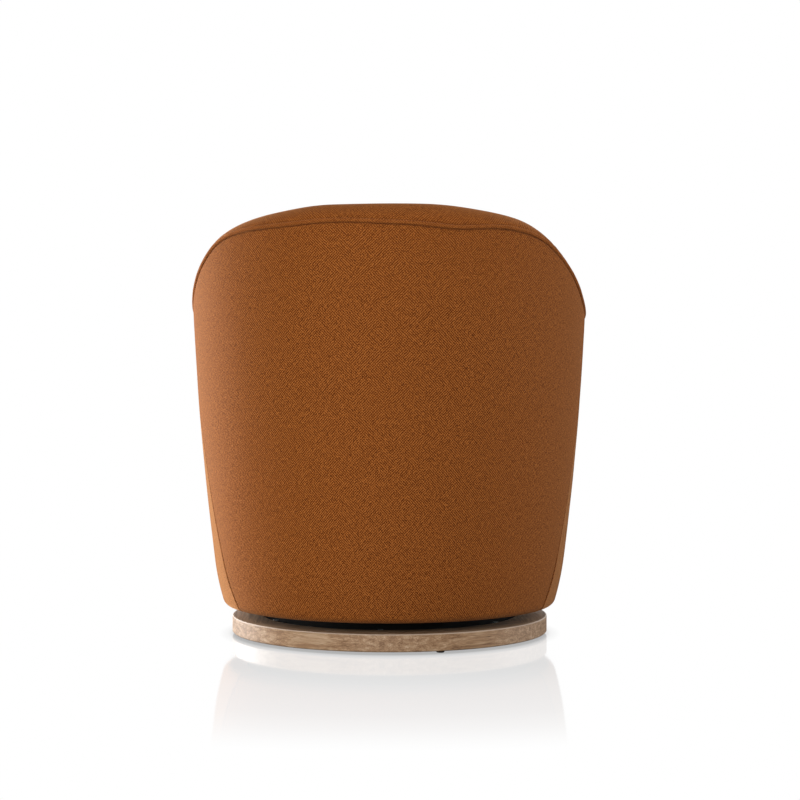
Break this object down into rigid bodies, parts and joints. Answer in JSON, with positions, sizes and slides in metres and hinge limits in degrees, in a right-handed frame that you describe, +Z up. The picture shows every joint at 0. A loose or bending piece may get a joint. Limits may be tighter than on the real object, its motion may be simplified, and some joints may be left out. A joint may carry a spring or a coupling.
{
  "type": "swivel barrel chair",
  "caption": "Upholstered swivel barrel chair with a padded rim that swoops down into the arms, a welted edge, a seat cushion and a round wooden plinth base.",
  "frame": {"origin": "centre of the overall bounding box in plan, on the floor", "axes": "+Z up and along the swivel axis, the chair faces -Y, the sitter's left is +X"},
  "size_m": [0.7276, 0.7461, 0.755],
  "materials": {
    "upholstery_fabric": "fine diagonal weave, matt",
    "piping_fabric": "fine diagonal weave, matt",
    "cushion_fabric": "fine diagonal weave, matt",
    "base_wood": "weathered grey-brown oiled oak",
    "black_board": "matt black",
    "frame_wood": "bare plywood and pine",
    "liner_board": "matt",
    "foam": "open cell",
    "webbing": "woven strap",
    "felt": "felt",
    "dust_cloth": "non-woven",
    "bare_steel": "zinc plated",
    "black_steel": "powder coat",
    "plastic": "moulded"
  },
  "bodies": {
    "base": {"plinth_segment_back_right": "base_wood", "plinth_segment_right": "base_wood", "plinth_segment_front_right": "base_wood", "plinth_segment_front_left": "base_wood", "plinth_segment_left": "base_wood", "plinth_segment_back_left": "base_wood", "base_board": "black_board", "base_board_screws": "bare_steel", "glides": "plastic", "swivel_lower_plate": "black_steel", "swivel_lower_screws": "bare_steel", "pivot_bolt": "bare_steel", "pivot_washer": "bare_steel", "pivot_nut": "bare_steel"},
    "cage": {"ball_cage": "plastic", "bearing_balls": "bare_steel"},
    "seat": {"swivel_upper_screws": "bare_steel", "swivel_upper_plate": "black_steel", "pivot_bush": "plastic", "bottom_board": "frame_wood", "lower_posts": "frame_wood", "upper_posts": "frame_wood", "seat_rail_back": "frame_wood", "seat_rail_left": "frame_wood", "seat_rail_right": "frame_wood", "seat_rail_front": "frame_wood", "front_board": "frame_wood", "top_rail_back": "frame_wood", "shoulder_rail_left": "frame_wood", "shoulder_rail_right": "frame_wood", "arm_rail_left": "frame_wood", "arm_rail_right": "frame_wood", "outer_liner": "liner_board", "dust_cover": "dust_cloth", "outside_back_cover": "upholstery_fabric", "outside_arm_cover_left": "upholstery_fabric", "outside_arm_cover_right": "upholstery_fabric", "inside_back_cover": "upholstery_fabric", "inside_arm_cover_left": "upholstery_fabric", "inside_arm_cover_right": "upholstery_fabric", "arm_front_cover_left": "upholstery_fabric", "arm_front_cover_right": "upholstery_fabric", "front_border_cover": "upholstery_fabric", "cushion_cover": "cushion_fabric", "rim_welt": "piping_fabric", "inside_back_foam": "foam", "inside_arm_foam_left": "foam", "inside_arm_foam_right": "foam", "arm_front_foam_left": "foam", "arm_front_foam_right": "foam", "cushion_core": "foam", "deck_pad": "felt", "webbing_across": "webbing", "webbing_lengthwise": "webbing"}
  },
  "joints": [
    {"name": "seat_swivel", "type": "hinge", "parent": "base", "child": "seat", "pos_m": [0, 0, 0.045], "axis": [0, 0, 1], "continuous": true},
    {"name": "cage_orbit", "type": "hinge", "parent": "base", "child": "cage", "pos_m": [0, 0, 0.045], "axis": [0, 0, 1], "continuous": true}
  ],
  "couplings": [
    {"joint": "cage_orbit", "follows": "seat_swivel", "ratio": 0.5}
  ]
}
